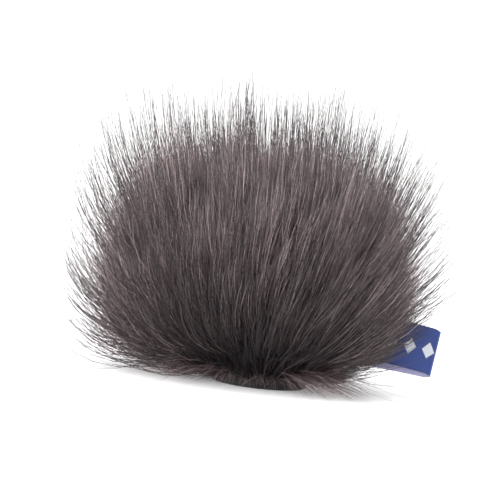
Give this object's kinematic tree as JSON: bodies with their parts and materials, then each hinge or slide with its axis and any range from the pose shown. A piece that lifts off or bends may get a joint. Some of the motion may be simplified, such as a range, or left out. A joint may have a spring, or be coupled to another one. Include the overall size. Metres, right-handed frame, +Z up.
{
  "type": "furry windscreen",
  "caption": "Round long-pile fur windscreen bag for a small microphone, with a foam liner, an elastic hem round its opening and a folded ribbon label in the side seam.",
  "frame": {"origin": "centre of the opening, level with the lower edge of the hem that the windscreen stands on", "axes": "+Z up the bore of the opening towards the crown; +X towards the side seam with the ribbon label; -Y is the front"},
  "size_m": [0.116, 0.116, 0.092],
  "materials": {
    "fur": "matte",
    "backing": "matte",
    "foam": "matte",
    "lining": "matte",
    "binding": "matte",
    "elastic": "matte",
    "thread": "satin",
    "ribbon": "satin"
  },
  "bodies": {
    "root": {"front_fur_pile": "fur", "back_fur_pile": "fur", "front_backing": "backing", "back_backing": "backing", "front_foam_liner": "foam", "back_foam_liner": "foam", "front_lining": "lining", "back_lining": "lining", "hem_binding": "binding", "elastic_ring": "elastic", "elastic_join_stitches": "thread", "hem_upper_stitches": "thread", "hem_lower_stitches": "thread", "side_seam_stitches": "thread", "liner_seam_stitches": "thread", "label_tab": "ribbon", "label_stitches": "thread"},
    "label": {"label_loop": "ribbon"}
  },
  "joints": [
    {"name": "label_flap", "type": "hinge", "parent": "root", "child": "label", "pos_m": [0.032, 0, 0.0202], "axis": [0.1219, 0, 0.9925], "range_deg": [-12, 12], "stiffness_Nm_per_rad": 0.00002}
  ]
}
